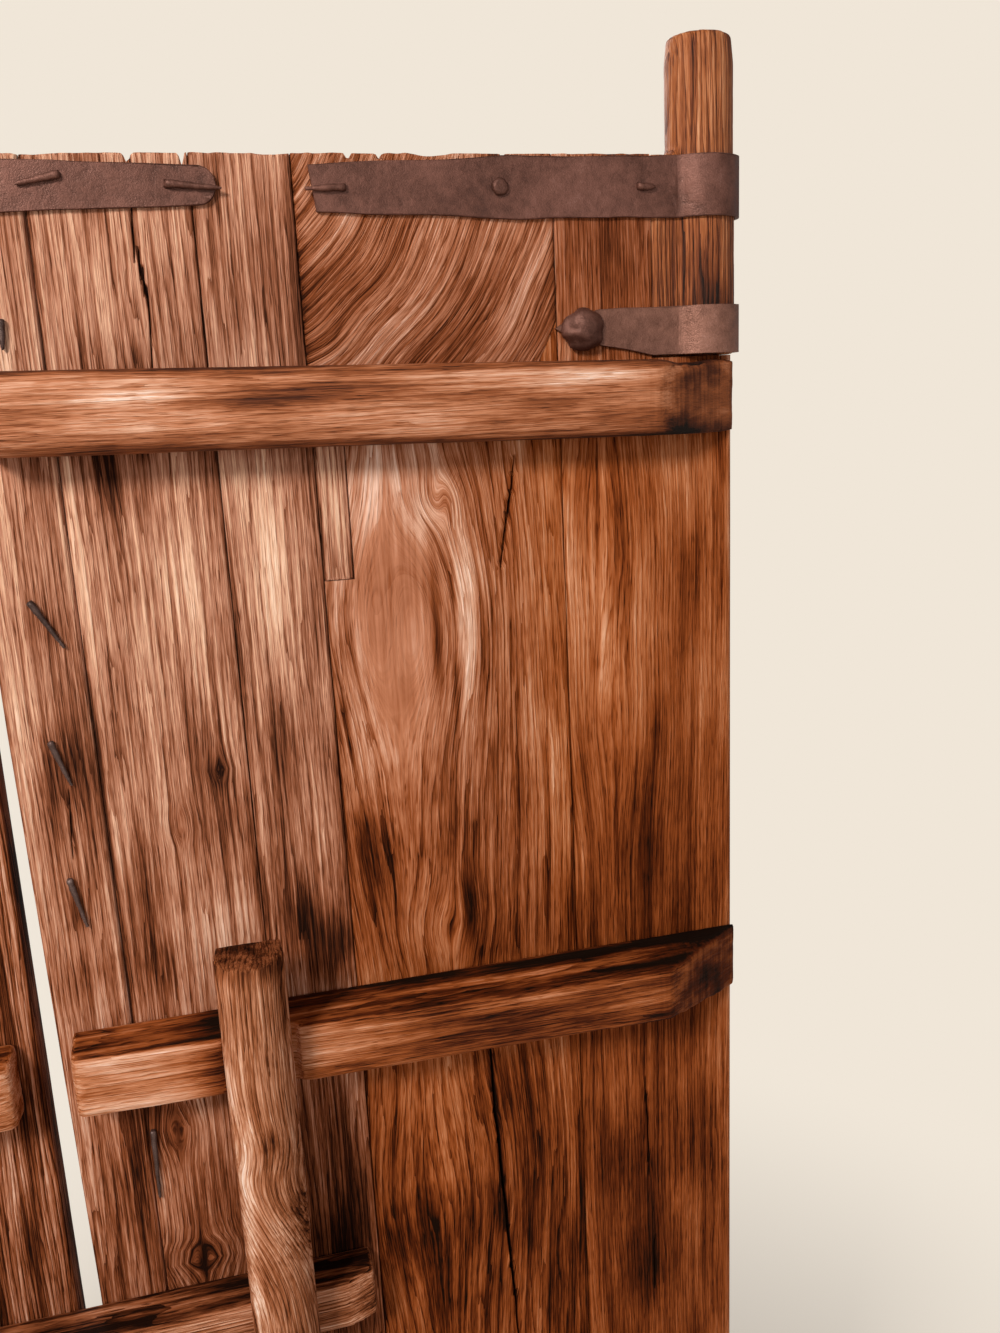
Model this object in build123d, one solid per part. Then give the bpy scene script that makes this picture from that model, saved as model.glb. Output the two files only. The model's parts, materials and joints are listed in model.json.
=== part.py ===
from build123d import *
import os

# A pair of plank door leaves that turn on wooden pivots, with a wooden bolt sliding across the inner face.
# Lengths are millimetres. Z is up and is 0 at the foot of the boards, the inner face looks towards -Y,
# and the origin is on the left leaf's pivot axis. A leaf is drawn with its pivot axis on Z and its boards
# running out along +X; the right leaf is turned over and set across the meeting gap.

# Boards, measured outwards from the pivot axis
leaf_height = 1860.0
board_thickness = 34.0
stile_behind_axis = 23.0
stile_width = 151.0
wide_board_width = 198.0
narrow_board_width = 72.0
broad_board_width = 113.0
meeting_board_width = 62.0
meeting_gap = 12.0
joint_gap = 0.6
stile_edge_radius = 8.0
board_edge_chamfer = 0.8

# The right leaf's meeting edge is worn back by hands below its top
worn_edge_depth = 7.0
worn_edge_start_drop = 410.0
worn_edge_full_drop = 910.0

# Dowels inside the board joints
dowel_radius = 4.5
dowel_length = 50.0
dowel_count = 7
dowel_end_margin = 80.0
dowel_end_clearance = 2.0

# Pivot posts
post_radius = 28.5
pivot_radius = 27.6
pivot_neck_in_leaf = 2.0
shoulder_relief_height = 1.5
shoulder_relief_depth = 0.6
shoulder_groove_width = 3.5
top_pivot_length = 88.0
bottom_pivot_length = 60.0
pivot_tip_length = 20.0
pivot_tip_radius = 25.5
pivot_tip_round = 3.5
post_let_in = 154.0
post_tongue = 48.0

# Upper and bottom rails, which tilt a little
rail_height = 60.0
rail_proud = 45.0
rail_round = 17.0
rail_drop_at_axis = 186.5
rail_tilt = 1.19
rail_bevel_run = 83.0
rail_end_inset = 15.0
bevel_end_thickness = 2.0

# Battens, proudest at the pivot edge
batten_base = 65.0
batten_slope = 9.5
batten_slope_height = 58.0
batten_proud_at_pivot = 58.0
batten_proud_at_meeting = 38.0
batten_offset = 249.5
batten_bevel_run = 86.0
batten_end_past_edge = 2.0
batten_end_round = 9.0
batten_edge_round = 3.0

# Dovetailed root of rails and battens
root_depth = 10.0
root_neck = 36.0
root_spread = 6.0
root_start = 4.0
root_stop = 12.0

# Keeper, across both battens
keeper_from_axis = 413.5
keeper_width = 53.0
keeper_depth = 49.0
keeper_side_height = 14.0
keeper_notch_depth = 7.0
keeper_overhang = 71.0
keeper_notch_slack = 6.0
keeper_crack_width = 2.6
keeper_crack_depth = 13.0
keeper_crack_from_front = 16.0
keeper_crack_stop = 9.0

# Keeper pegs
peg_radius = 6.0
peg_in_keeper = 25.0
peg_end_clearance = 1.0

# Bolt
bolt_axis_height = 917.0
bolt_height = 47.0
bolt_thickness = 42.0
bolt_end_past_keeper = 53.0
bolt_short_of_left_keeper = 6.0
bolt_nose_run = 26.0
bolt_nose_cut = 11.0
bolt_edge_round = 3.5
bolt_face_clearance = 0.4
bolt_slot_clearance = 0.6

# Iron straps
strap_thickness = 3.2
strap_bend_radius = 14.0
strap_from_end = 2.5
strap_width = 45.0
strap_end_width = 33.0
strap_end_slant = 4.0
pivot_strap_reach = 314.0
post_strap_drop = 115.1
post_strap_width = 37.0
post_strap_neck_width = 28.0
post_strap_tip_reach = 131.0
post_strap_neck_from_tip = 37.0
post_strap_shoulder_run = 45.0
post_strap_point_run = 12.0
post_strap_point_half = 7.0
meeting_strap_start_width = 40.0
meeting_strap_end_width = 26.0
meeting_strap_length = 193.0
meeting_edge_radius = 4.0

# Forged nails, driven from the outer face
nail_side = 4.4
nail_leg_thickness = 3.0
nail_leg_lift = 0.3
nail_bend_radius = 2.6
nail_head_radius = 7.0
nail_head_height = 4.0
nail_point_width = 1.6
nail_tip_thinning = 0.5
nail_rivet_radius = 4.5
nail_rivet_height = 2.0
boss_radius = 17.0
boss_height = 9.0
boss_from_tip = 23.0

# Each bent nail: how far in, how far up or down, its leg's direction in degrees from +X to +Z, its length.
# In is counted from the pivot axis, from the pivot strap's end or from the meeting edge, as the name says.
nail_by_post = (58.0, 0.0, 182.0, 12.0)
nail_at_strap_end = (24.0, 0.0, -1.5, 27.0)
flat_nail_from_strap_end = 143.0
meeting_strap_nails = [(86.0, 9.0, 348.0, 28.0), (160.0, 3.0, 185.0, 37.0)]
edge_nail_under_strap = (37.0, 112.0, -86.0, 19.0)
edge_nail_under_batten = (67.0, 72.5, -89.0, 62.0)

# Edge nails between batten and rail: in from the meeting edge, share of the way up, direction, length
edge_nails = [(30.2, 0.752, 241.0, 40.0), (30.3, 0.538, 252.4, 36.0), (30.0, 0.316, 258.2, 41.0)]

# Repair panel and inlay strip of the right leaf
panel_drop = 180.0
panel_corner_drop = 121.0
panel_corner_run = 30.0
inlay_width = 23.5
inlay_drop = 313.5

# Fits
wood_clearance = 0.1
iron_clearance = 0.2
nail_clearance = 0.1

# Cutting shapes run this far past what they cut
past = 1.0
far_past = 100.0

# Worked out from the sizes above
face = board_thickness / 2
stile_joint = stile_width - stile_behind_axis
wide_joint = stile_joint + wide_board_width
narrow_joint = wide_joint + narrow_board_width
broad_joint = narrow_joint + broad_board_width
meeting_edge = broad_joint + meeting_board_width
pivot_spacing = 2 * meeting_edge + meeting_gap
post_foot = leaf_height - post_let_in
batten_span = meeting_edge - rail_end_inset + stile_behind_axis
keeper_inner = keeper_from_axis - keeper_width / 2
keeper_outer = keeper_from_axis + keeper_width / 2
batten_fall = (batten_proud_at_pivot - batten_proud_at_meeting) / batten_span
batten_at_keeper = batten_proud_at_pivot - batten_fall * (keeper_from_axis + stile_behind_axis)
keeper_back = batten_at_keeper - keeper_notch_depth
keeper_front = keeper_back + keeper_depth
keeper_reach = batten_offset + batten_base / 2 + keeper_overhang
slot_depth = bolt_face_clearance + bolt_thickness + bolt_slot_clearance - keeper_back
bolt_span = pivot_spacing - 2 * keeper_outer
bolt_length = bolt_span + keeper_width + bolt_end_past_keeper - bolt_short_of_left_keeper
strap_out = face + iron_clearance + strap_thickness + iron_clearance
strap_mid = leaf_height - strap_from_end - strap_width / 2
post_strap_top = leaf_height - post_strap_drop
boss_height_on_leaf = post_strap_top - post_strap_neck_width / 2 - 1.5
boss_from_axis = post_strap_tip_reach - boss_from_tip
flat_nail_from_axis = pivot_strap_reach - flat_nail_from_strap_end
panel_foot = leaf_height - panel_drop
inlay_foot = leaf_height - inlay_drop


def block(x0, x1, y0, y1, z0, z1):
    return Pos((x0 + x1) / 2, (y0 + y1) / 2, (z0 + z1) / 2) * Box(x1 - x0, y1 - y0, z1 - z0)


def elevation(points, y0, y1):
    """A plate whose outline is given in X and Z, from y0 to y1."""
    outline = Plane.XZ.offset(-y0) * make_face(Polyline(*points, close=True))
    return extrude(outline, amount=-(y1 - y0))


def upside_down(shape):
    """The same shape at the foot of the leaf that it has at the top."""
    return mirror(shape, about=Plane.XY.offset(leaf_height / 2))


# Rails and battens, with their roots


def root_profile(grow):
    """Dovetail in Y and Z, widest at its depth in the boards, grown by a fit."""
    neck = root_neck / 2 + grow
    deep = neck + root_spread
    y_out = -face - past
    y_in = -face + root_depth + grow
    flare = root_spread / root_depth
    points = [(y_out, -neck + flare), (y_in, -deep), (y_in, deep), (y_out, neck - flare)]
    return make_face(Polyline(*points, close=True))


def along_leaf(profile, start, end):
    return extrude(Plane.YZ.offset(start) * profile, amount=end - start)


def housing():
    start = -stile_behind_axis - past
    end = meeting_edge - rail_end_inset - root_stop + wood_clearance
    return along_leaf(root_profile(wood_clearance), start, end)


def root():
    start = root_start - stile_behind_axis
    end = meeting_edge - rail_end_inset - root_stop
    inside = block(start, end, -face, face, -rail_height, rail_height)
    return along_leaf(root_profile(0), start, end) & inside


def rail_place():
    """Puts a rail or its housing at its height, tilted about the pivot axis."""
    return Pos(0, 0, leaf_height - rail_drop_at_axis) * Rot(0, -rail_tilt, 0)


def upper_rail():
    half = rail_height / 2
    front = -face - rail_proud
    corners = [(-face, -half), (front, -half), (front, half), (-face, half)]
    section = make_face(Polyline(*corners, close=True))
    section = fillet(section.vertices().sort_by(Axis.X)[:2], rail_round)
    start = -stile_behind_axis
    end = meeting_edge - rail_end_inset
    bar = along_leaf(section, start, end)
    foot = start + rail_bevel_run
    thin = -face - bevel_end_thickness
    before = start - past
    bevel = [(before, front - past), (foot, front - past), (foot, front), (start, thin), (before, thin)]
    cutter = extrude(make_face(Polyline(*bevel, close=True)), amount=rail_height + 2 * past)
    bar -= Pos(0, 0, -half - past) * cutter
    return rail_place() * (bar + root())


def batten_body():
    half = batten_base / 2
    front = -face - batten_proud_at_pivot
    narrow = half - batten_slope * batten_proud_at_pivot / batten_slope_height
    points = [(-face, -half), (front, -narrow), (front, narrow), (-face, half)]
    start = -stile_behind_axis - batten_end_past_edge
    end = meeting_edge - rail_end_inset
    bar = along_leaf(make_face(Polyline(*points, close=True)), start, end)
    foot = start + batten_bevel_run
    foot_front = front + batten_fall * batten_bevel_run
    end_front = front + batten_fall * (end - start)
    thin = -face - bevel_end_thickness
    plan = [(start, thin), (foot, foot_front), (end, end_front), (end, -face), (start, -face)]
    outline = make_face(Polyline(*plan, close=True))
    far_corner = outline.vertices().sort_by_distance(Vertex(end, end_front, 0))[0]
    outline = fillet(far_corner, batten_end_round)
    bar &= Pos(0, 0, -half - past) * extrude(outline, amount=batten_base + 2 * past)
    long_edges = bar.edges().filter_by(lambda e: e.length > batten_span / 2 and e.center().Y < thin)
    return fillet(long_edges, batten_edge_round)


def batten():
    body = batten_body() + root()
    notch_start = keeper_inner - keeper_notch_slack
    notch_end = keeper_outer + wood_clearance
    notch = block(notch_start, notch_end, -face - far_past, -face - keeper_back, -batten_base, batten_base)
    return body - notch - Pos(keeper_from_axis, 0, 0) * peg_hole()


def peg_hole():
    return Rot(90, 0, 0) * Cylinder(peg_radius + wood_clearance, 2 * far_past)


def batten_heights():
    return [bolt_axis_height + batten_offset, bolt_axis_height - batten_offset]


def housings():
    rail = rail_place() * housing()
    cuts = [rail, upside_down(rail)]
    cuts += [Pos(0, 0, z) * housing() for z in batten_heights()]
    return cuts


# Keeper and pegs


def keeper():
    half = keeper_width / 2
    back = -face - keeper_back
    side = back - keeper_side_height
    front = -face - keeper_front
    sides = Polyline((-half, side), (-half, back), (half, back), (half, side))
    nose = ThreePointArc((half, side), (0, front), (-half, side))
    bar = extrude(make_face(sides + nose), amount=2 * keeper_reach)
    bar = Pos(keeper_from_axis, 0, bolt_axis_height - keeper_reach) * bar
    top = bolt_axis_height + keeper_reach
    crack_y = front + keeper_crack_from_front
    crack_end = keeper_outer - keeper_crack_stop
    crack_foot = top - keeper_crack_depth
    crack_back = crack_y + keeper_crack_width
    bar -= block(keeper_inner - past, crack_end, crack_y, crack_back, crack_foot, top + past)
    slot_half = bolt_height / 2 + bolt_slot_clearance
    low = bolt_axis_height - slot_half
    high = bolt_axis_height + slot_half
    bar -= block(keeper_inner - past, keeper_outer + past, back - slot_depth, back + past, low, high)
    peg_depth = peg_in_keeper + peg_end_clearance
    blind_hole = Rot(90, 0, 0) * Cylinder(peg_radius + wood_clearance, 2 * peg_depth)
    for z in batten_heights():
        bar -= Pos(keeper_from_axis, back, z) * blind_hole
    return bar


def keeper_pegs():
    length = board_thickness + keeper_back + peg_in_keeper
    peg = Rot(90, 0, 0) * Cylinder(peg_radius, length)
    return [Pos(keeper_from_axis, face - length / 2, z) * peg for z in batten_heights()]


# Nails


def square_shank(x, z, angle, y0, y1, grow=0.0):
    """A square nail shank, turned with the leg that its point is bent into."""
    half = nail_side / 2 + grow
    return Pos(x, 0, z) * Rot(0, -angle, 0) * block(-half, half, y0, y1, -half, half)


def clenched_nail(x, z, angle, leg, inner, outer):
    """A nail from the outer face, bent over on the inner face towards angle, counted from +X up to +Z."""
    low = -inner - nail_leg_lift
    half = nail_side / 2
    radius = nail_bend_radius
    high = low - nail_leg_thickness
    tip = (leg, high + nail_tip_thinning)
    shank = Polyline((-half, high + radius), (-half, outer), (half, outer), (half, low), (leg, low), tip)
    top = Line(tip, (-half + radius, high))
    bend = RadiusArc((-half + radius, high), (-half, high + radius), radius, short_sagitta=True)
    outline = make_face(shank + top + bend)
    body = Pos(0, 0, -half) * extrude(outline, amount=nail_side)
    point = nail_point_width / 2
    wide_end = half + radius
    taper = [(-half, -half), (wide_end, -half), (leg, -point), (leg, point), (wide_end, half), (-half, half)]
    cutter = extrude(make_face(Polyline(*taper, close=True)), amount=far_past)
    body &= Pos(0, outer, 0) * Rot(90, 0, 0) * cutter
    return Pos(x, 0, z) * Rot(0, -angle, 0) * (body + nail_head(outer))


def nail_head(outer):
    turned = Rot(-90, 0, 0) * Pos(0, 0, nail_head_height / 2)
    return Pos(0, outer, 0) * turned * Cone(nail_head_radius, nail_head_radius / 3, nail_head_height)


def rivet(height):
    """A nail's point hammered flat, standing on Z."""
    return Pos(0, 0, height / 2) * Cone(nail_head_radius, nail_rivet_radius, height)


def flat_nail(x, z):
    """A strap nail whose point is hammered flat on the inner face."""
    inner = -strap_out - nail_leg_lift
    flat = Pos(x, inner, z) * Rot(90, 0, 0) * rivet(nail_rivet_height)
    return square_shank(x, z, 0, inner, strap_out) + Pos(x, 0, z) * nail_head(strap_out) + flat


def boss_nail():
    """The big nail of the post strap, driven from the inner face and hammered flat on the outer one."""
    inner = -strap_out - nail_leg_lift
    half = boss_height / 2
    cap = Pos(0, 0, half / 2) * Cone(boss_radius, boss_radius * 0.8, half)
    crown = Pos(0, 0, half + half / 2) * Cone(boss_radius * 0.8, boss_radius * 0.35, half)
    head = Pos(boss_from_axis, inner, boss_height_on_leaf) * Rot(90, 0, 0) * (cap + crown)
    flat = Pos(boss_from_axis, strap_out, boss_height_on_leaf) * Rot(-90, 0, 0) * rivet(nail_rivet_height)
    return head + square_shank(boss_from_axis, boss_height_on_leaf, 0, inner, strap_out) + flat


def strap_nail_list():
    """The bent nails of the straps: distance from the axis, height, direction of the leg, its length."""
    out, up, angle, leg = nail_by_post
    nails = [(out, strap_mid + up, angle, leg)]
    back, up, angle, leg = nail_at_strap_end
    nails.append((pivot_strap_reach - back, strap_mid + up, angle, leg))
    for back, up, angle, leg in meeting_strap_nails:
        nails.append((meeting_edge - back, strap_mid + up, angle, leg))
    return nails + [(x, leaf_height - z, -angle, leg) for x, z, angle, leg in nails]


def edge_nail_list():
    """The bent nails along the meeting edge, in the same order of values."""
    back, drop, angle, leg = edge_nail_under_strap
    x = meeting_edge - back
    nails = [(x, leaf_height - drop, angle, leg), (x, drop, -angle, leg)]
    upper, lower = batten_heights()
    to_rail = leaf_height - rail_drop_at_axis - upper
    to_bottom_rail = lower - rail_drop_at_axis
    for back, share, angle, leg in edge_nails:
        x = meeting_edge - back
        nails.append((x, upper + share * to_rail, angle, leg))
        nails.append((x, lower - share * to_bottom_rail, -angle, leg))
    back, drop, angle, leg = edge_nail_under_batten
    nails.append((meeting_edge - back, upper - drop, angle, leg))
    return nails


def leaf_nails():
    """Every nail of one leaf: strap nails, boss nails and edge nails."""
    strap = [clenched_nail(*nail, strap_out, strap_out) for nail in strap_nail_list()]
    flat = flat_nail(flat_nail_from_axis, strap_mid)
    edge = [clenched_nail(*nail, face, face + iron_clearance) for nail in edge_nail_list()]
    return strap + [flat, upside_down(flat)], [boss_nail(), upside_down(boss_nail())], edge


def nail_places():
    """Where every nail goes through the boards: distance from the axis, height, and angle of its leg."""
    places = [(x, z, angle) for x, z, angle, _ in strap_nail_list() + edge_nail_list()]
    for x, z in ((flat_nail_from_axis, strap_mid), (boss_from_axis, boss_height_on_leaf)):
        places += [(x, z, 0), (x, leaf_height - z, 0)]
    return places


def nail_holes(x0, x1):
    reach = strap_out + nail_head_radius
    places = [place for place in nail_places() if x0 < place[0] < x1]
    return [square_shank(x, z, angle, -reach, reach, nail_clearance) for x, z, angle in places]


# Dowels


def dowel_heights():
    pitch = (leaf_height - 2 * dowel_end_margin) / (dowel_count - 1)
    return [dowel_end_margin + pitch * i for i in range(dowel_count)]


def dowels(grow=0.0, longer=0.0):
    rod = Rot(0, 90, 0) * Cylinder(dowel_radius + grow, dowel_length + longer)
    joints = (stile_joint, wide_joint, narrow_joint, broad_joint)
    return [Pos(x, 0, z) * rod for x in joints for z in dowel_heights()]


# Boards


def near(cuts, x0, x1):
    """The cuts that reach a board between x0 and x1."""
    kept = []
    for cut in cuts:
        box = cut.bounding_box()
        if box.max.X > x0 and box.min.X < x1:
            kept.append(cut)
    return kept


def plank(x0, x1, z0=0.0, z1=leaf_height):
    left = x0 + joint_gap / 2
    right = x1 - joint_gap / 2
    body = block(left, right, -face, face, z0, z1)
    upright = body.edges().filter_by(Axis.Z)
    return chamfer(upright, board_edge_chamfer)


def finished_board(body, x0, x1, extra=()):
    pegs = [Pos(keeper_from_axis, 0, z) * peg_hole() for z in batten_heights()]
    cuts = housings() + dowels(wood_clearance, dowel_end_clearance) + pegs + nail_holes(x0, x1) + list(extra)
    for cut in near(cuts, x0, x1):
        body -= cut
    return body


def pivot_stile():
    body = block(-stile_behind_axis, stile_joint - joint_gap / 2, -face, face, 0, leaf_height)
    outer_edges = body.edges().filter_by(Axis.Z).sort_by(Axis.X)[:2]
    body = fillet(outer_edges, stile_edge_radius)
    low = post_foot - wood_clearance
    notch = block(-far_past, post_tongue + joint_gap, -far_past, far_past, low, leaf_height + past)
    return finished_board(body, -stile_behind_axis, stile_joint, [notch, upside_down(notch)])


def meeting_board(worn):
    """The board along the meeting gap, its corners rounded; the right leaf's is worn back lower down."""
    start = leaf_height - worn_edge_start_drop
    full = leaf_height - worn_edge_full_drop
    edge = meeting_edge - worn_edge_depth
    left = broad_joint + joint_gap / 2
    wear = [(meeting_edge, start), (edge, full), (edge, 0)] if worn else [(meeting_edge, 0)]
    body = elevation([(left, 0), (left, leaf_height), (meeting_edge, leaf_height)] + wear, -face, face)
    middle = (left + edge) / 2
    outer = [e for e in body.edges() if e.center().X > middle and abs(e.center().Y) > face / 2]
    upright = [e for e in outer if abs((e @ 1 - e @ 0).Z) > past]
    return finished_board(fillet(upright, meeting_edge_radius), broad_joint, meeting_edge)


def wide_board(repaired):
    """The widest board; on the right leaf its head is a repair panel, with an inlay strip below."""
    body = plank(stile_joint, wide_joint)
    extra = [panel_outline(joint_gap), inlay_outline(joint_gap)] if repaired else []
    return finished_board(body, stile_joint, wide_joint, extra)


def panel_outline(gap):
    """The repair panel, or with a gap the cut-out that it sits in."""
    left = stile_joint + joint_gap / 2 - gap
    right = wide_joint - joint_gap / 2 + gap
    foot = panel_foot - gap
    corner = leaf_height - panel_corner_drop - gap
    points = [(left, leaf_height + gap), (right, leaf_height + gap), (right, foot),
              (stile_joint + panel_corner_run, foot), (left, corner)]
    return elevation(points, -face - gap, face + gap)


def inlay_outline(gap):
    """The inlay strip, or with a gap the cut-out that it sits in."""
    left = wide_joint - inlay_width - gap
    right = wide_joint - joint_gap / 2 + gap
    return block(left, right, -face - gap, face + gap, inlay_foot - gap, panel_foot - joint_gap + gap)


def repair_panel():
    return finished_board(panel_outline(0), stile_joint, wide_joint)


def inlay_strip():
    return finished_board(inlay_outline(0), wide_joint - inlay_width, wide_joint)


# Pivot posts


def round_bar(radius, z0, z1):
    return Pos(0, 0, (z0 + z1) / 2) * Cylinder(radius, z1 - z0)


def post(pivot_length):
    """A post with its pivot, whose shoulder lies in a groove so that a socket can sit down on it."""
    neck_start = leaf_height - pivot_neck_in_leaf
    shoulder = neck_start - shoulder_relief_height
    tip_start = leaf_height + pivot_length - pivot_tip_length
    tongue = block(0, post_tongue, -face, face, post_foot, leaf_height)
    tongue -= round_bar(pivot_radius + shoulder_groove_width, shoulder, leaf_height + past)
    shape = tongue + round_bar(post_radius, post_foot, shoulder)
    shape += round_bar(pivot_radius - shoulder_relief_depth, shoulder, neck_start)
    shape += round_bar(pivot_radius, neck_start, tip_start)
    tip = Cone(pivot_radius, pivot_tip_radius, pivot_tip_length)
    tip = Pos(0, 0, tip_start + pivot_tip_length / 2) * tip
    shape += fillet(tip.edges().sort_by(Axis.Z)[-1], pivot_tip_round)
    for hole in near(nail_holes(0, post_tongue + joint_gap), 0, post_tongue + joint_gap):
        shape -= hole
    return shape


# Straps


def bent_round_post(reach):
    """Plan of a strap that runs along both faces of the leaf and round the post."""
    slab = Pos((reach + far_past) / 2, 0) * Rectangle(reach + far_past, board_thickness)
    core = slab + Circle(post_radius)
    hollows = [v for v in core.vertices() if 0 < v.X < post_radius]
    core = fillet(hollows, strap_bend_radius)
    inner = offset(core, iron_clearance)
    ring = offset(inner, strap_thickness) - inner
    behind = 2 * post_radius
    return ring & Pos((reach - behind) / 2, 0) * Rectangle(reach + behind, 2 * behind)


def bent_round_edge(edge, reach):
    """Plan of a strap that runs along both faces and round the meeting edge."""
    core = Pos(edge - (reach + far_past) / 2, 0) * Rectangle(reach + far_past, board_thickness)
    outer_corners = core.vertices().sort_by(Axis.X)[-2:]
    core = fillet(outer_corners, meeting_edge_radius)
    inner = offset(core, iron_clearance)
    ring = offset(inner, strap_thickness) - inner
    kept = Rectangle(reach + board_thickness, 2 * board_thickness)
    return ring & Pos(edge + (board_thickness - reach) / 2, 0) * kept


def pivot_strap():
    top = leaf_height - strap_from_end
    low = top - strap_width
    end = pivot_strap_reach
    lift = (strap_width - strap_end_width) / 2
    behind = -2 * post_radius
    outline = [(behind, low), (end / 2, low), (end - strap_end_slant, low + lift), (end, top - lift),
               (end / 2, top), (behind, top)]
    tall = Pos(0, 0, low - past) * extrude(bent_round_post(end), amount=strap_width + 2 * past)
    strap = tall & elevation(outline, -2 * post_radius, 2 * post_radius)
    for hole in nail_holes(0, end):
        strap -= hole
    return strap


def post_strap():
    """The pointed strap below, which the boss nail holds."""
    top = post_strap_top
    low = top - post_strap_width
    behind = -2 * post_radius
    end = post_strap_tip_reach
    neck = end - post_strap_neck_from_tip
    point = end - post_strap_point_run
    tip = top - post_strap_neck_width / 2
    outline = [(behind, low), (neck - post_strap_shoulder_run, low), (neck, top - post_strap_neck_width),
               (point, tip - post_strap_point_half), (end, tip), (point, tip + post_strap_point_half),
               (neck, top), (behind, top)]
    tall = Pos(0, 0, low - past) * extrude(bent_round_post(end), amount=post_strap_width + 2 * past)
    strap = tall & elevation(outline, behind, -behind)
    for hole in nail_holes(0, post_strap_tip_reach):
        strap -= hole
    return strap


def meeting_strap(edge):
    top = leaf_height - strap_from_end
    half_start = meeting_strap_start_width / 2
    half_end = meeting_strap_end_width / 2
    mid = top - half_start
    far = meeting_edge - meeting_strap_length
    nose_start = far + half_end
    outer = edge + board_thickness
    under = Line((outer, mid - half_start), (nose_start, mid - half_end))
    nose = ThreePointArc((nose_start, mid - half_end), (far, mid), (nose_start, mid + half_end))
    over = Line((nose_start, mid + half_end), (outer, mid + half_start))
    close = Line((outer, mid + half_start), (outer, mid - half_start))
    outline = Rot(90, 0, 0) * make_face(under + nose + over + close)
    cutter = extrude(outline, amount=board_thickness, both=True)
    tall = extrude(bent_round_edge(edge, edge - far), amount=meeting_strap_start_width + 2 * past)
    strap = Pos(0, 0, mid - half_start - past) * tall & cutter
    for hole in nail_holes(far, edge):
        strap -= hole
    return strap


# Bolt, drawn where it lies across the gap


def bolt():
    start = keeper_outer + bolt_short_of_left_keeper
    end = start + bolt_length
    back = -face - bolt_face_clearance
    front = back - bolt_thickness
    half = bolt_height / 2
    nose = end - bolt_nose_run
    plan = [(start, back), (end, back), (end, front + bolt_nose_cut), (nose, front), (start, front)]
    low = bolt_axis_height - half
    bar = Pos(0, 0, low) * extrude(make_face(Polyline(*plan, close=True)), amount=bolt_height)
    long_edges = bar.edges().filter_by(Axis.X).filter_by(lambda e: e.center().Y < back - 1)
    bar = fillet(long_edges, bolt_edge_round)
    return bar


# One leaf's pieces, and where the leaves go


def leaf_pieces(side):
    right = side == "right"
    low_edge = meeting_edge - worn_edge_depth if right else meeting_edge
    strap_set, boss_set, edge_set = leaf_nails()
    rail = upper_rail()
    top_post = post(top_pivot_length)
    bottom_post = upside_down(post(bottom_pivot_length))
    pieces = {
        "pivot_stile": pivot_stile(),
        "wide_board": wide_board(right),
        "narrow_board": finished_board(plank(wide_joint, narrow_joint), wide_joint, narrow_joint),
        "broad_board": finished_board(plank(narrow_joint, broad_joint), narrow_joint, broad_joint),
        "meeting_board": meeting_board(right),
        "upper_rail": rail,
        "bottom_rail": upside_down(rail),
        "upper_batten": Pos(0, 0, bolt_axis_height + batten_offset) * batten(),
        "lower_batten": Pos(0, 0, bolt_axis_height - batten_offset) * batten(),
        "keeper": keeper(),
        "keeper_pegs": keeper_pegs(),
        "top_post": top_post,
        "bottom_post": bottom_post,
        "top_pivot_strap": pivot_strap(),
        "bottom_pivot_strap": upside_down(pivot_strap()),
        "top_post_strap": post_strap(),
        "bottom_post_strap": upside_down(post_strap()),
        "top_meeting_strap": meeting_strap(meeting_edge),
        "bottom_meeting_strap": upside_down(meeting_strap(low_edge)),
        "strap_nails": strap_set,
        "boss_nails": boss_set,
        "edge_nails": edge_set,
        "board_dowels": dowels(),
    }
    if right:
        pieces["repair_panel"] = repair_panel()
        pieces["inlay_strip"] = inlay_strip()
    return pieces


def to_right(shape):
    return Pos(pivot_spacing, 0, 0) * mirror(shape, about=Plane.YZ)


def write(name, shape):
    if isinstance(shape, list):
        shape = Compound(children=[piece.solid() for piece in shape])
    export_step(shape, f"parts/{name}.step")


os.makedirs("parts", exist_ok=True)
for name, shape in leaf_pieces("left").items():
    write(f"left_{name}", shape)
for name, shape in leaf_pieces("right").items():
    turned = [to_right(s) for s in shape] if isinstance(shape, list) else to_right(shape)
    write(f"right_{name}", turned)
write("sliding_bolt", bolt())
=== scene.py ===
import bpy
import json
import math
import numpy as np
from mathutils import Matrix, Vector

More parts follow.
